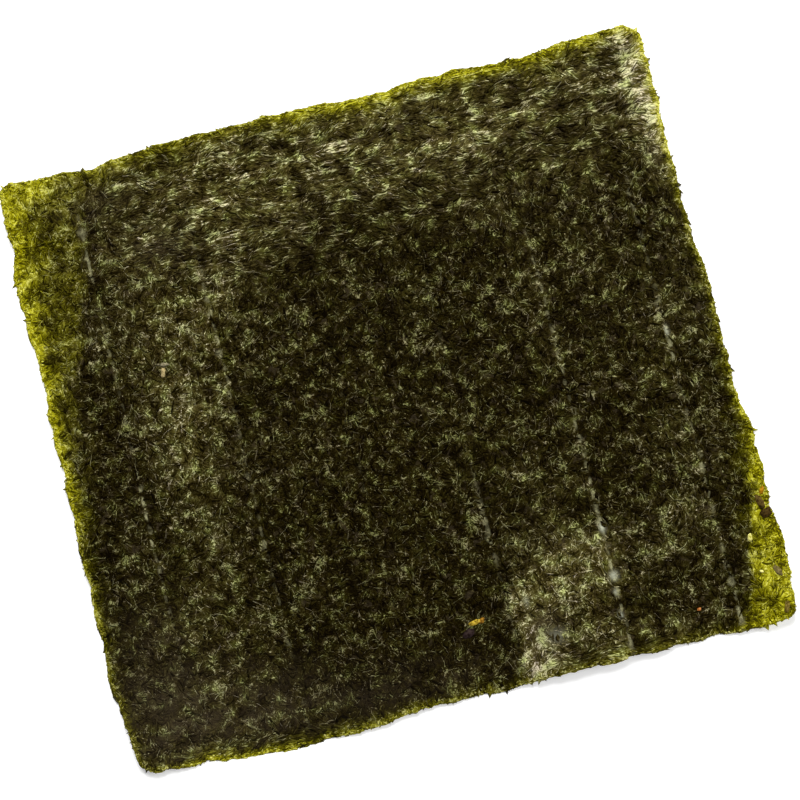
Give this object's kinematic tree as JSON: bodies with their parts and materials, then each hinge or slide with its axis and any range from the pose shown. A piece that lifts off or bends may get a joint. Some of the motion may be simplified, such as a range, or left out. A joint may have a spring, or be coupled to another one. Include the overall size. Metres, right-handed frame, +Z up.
{
  "type": "nori sheet",
  "caption": "Thin, gently wavy rectangular leaf of dried pressed seaweed with a ragged edge and pressed tear lines, for wrapping rice.",
  "frame": {"origin": "under the middle of the sheet's box, on the surface that the sheet lies on", "axes": "+X along the long side, square to the pressed lines; +Y along the pressed lines; +Z up"},
  "size_m": [0.2162, 0.1972, 0.0052],
  "materials": {
    "dried_seaweed": "satin, rough and fibrous"
  },
  "bodies": {
    "root": {"nori_sheet": "dried_seaweed"}
  },
  "joints": []
}
